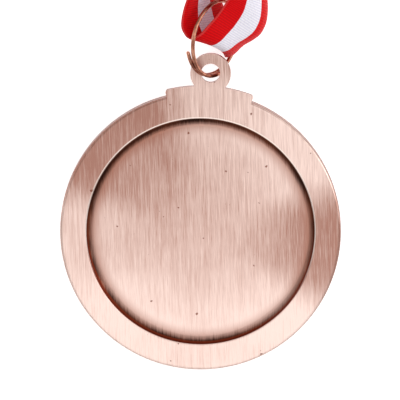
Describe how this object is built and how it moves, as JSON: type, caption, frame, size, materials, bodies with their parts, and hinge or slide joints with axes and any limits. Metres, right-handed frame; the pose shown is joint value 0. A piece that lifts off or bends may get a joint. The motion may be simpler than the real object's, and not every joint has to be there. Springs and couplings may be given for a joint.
{
  "type": "medal",
  "caption": "Round antique-copper medal with a recessed blank back and an ear, hung by a jump ring on a red and white striped neck ribbon that is rolled up.",
  "frame": {"origin": "centre of the object's footprint, on the table plane", "axes": "+Z up out of the table, the way the medal's blank back faces; +Y from the disc through the ear towards the ribbon; +X to the right seen from above with +Y up"},
  "size_m": [0.05, 0.1052, 0.0127],
  "materials": {
    "copper_cast": "brushed antique copper plate, dark in the recess's corner",
    "ring_wire": "bright copper-plated wire",
    "ribbon_weave": "ribbed weave, red with a white middle stripe",
    "sewing_thread": "matte red polyester thread"
  },
  "bodies": {
    "medal": {"medal_body": "copper_cast"},
    "ring": {"jump_ring": "ring_wire"},
    "ribbon": {"ribbon_loop": "ribbon_weave", "seam_stitches": "sewing_thread"},
    "roll": {"ribbon_roll": "ribbon_weave"}
  },
  "joints": [
    {"name": "ring_swing", "type": "hinge", "parent": "medal", "child": "ring", "pos_m": [0, 0.00124, 0.0062], "axis": [1, 0, 0], "range_deg": [0, 30]},
    {"name": "ribbon_slide", "type": "hinge", "parent": "ring", "child": "ribbon", "pos_m": [0.00065, 0.0073, 0.0061], "axis": [0.8025, -0.0929, 0.5893], "range_deg": [0, 30]},
    {"name": "ribbon_bend", "type": "hinge", "parent": "ribbon", "child": "roll", "pos_m": [0.0006, 0.03057, 0], "axis": [0, 0, 1], "range_deg": [-25, 25]}
  ]
}
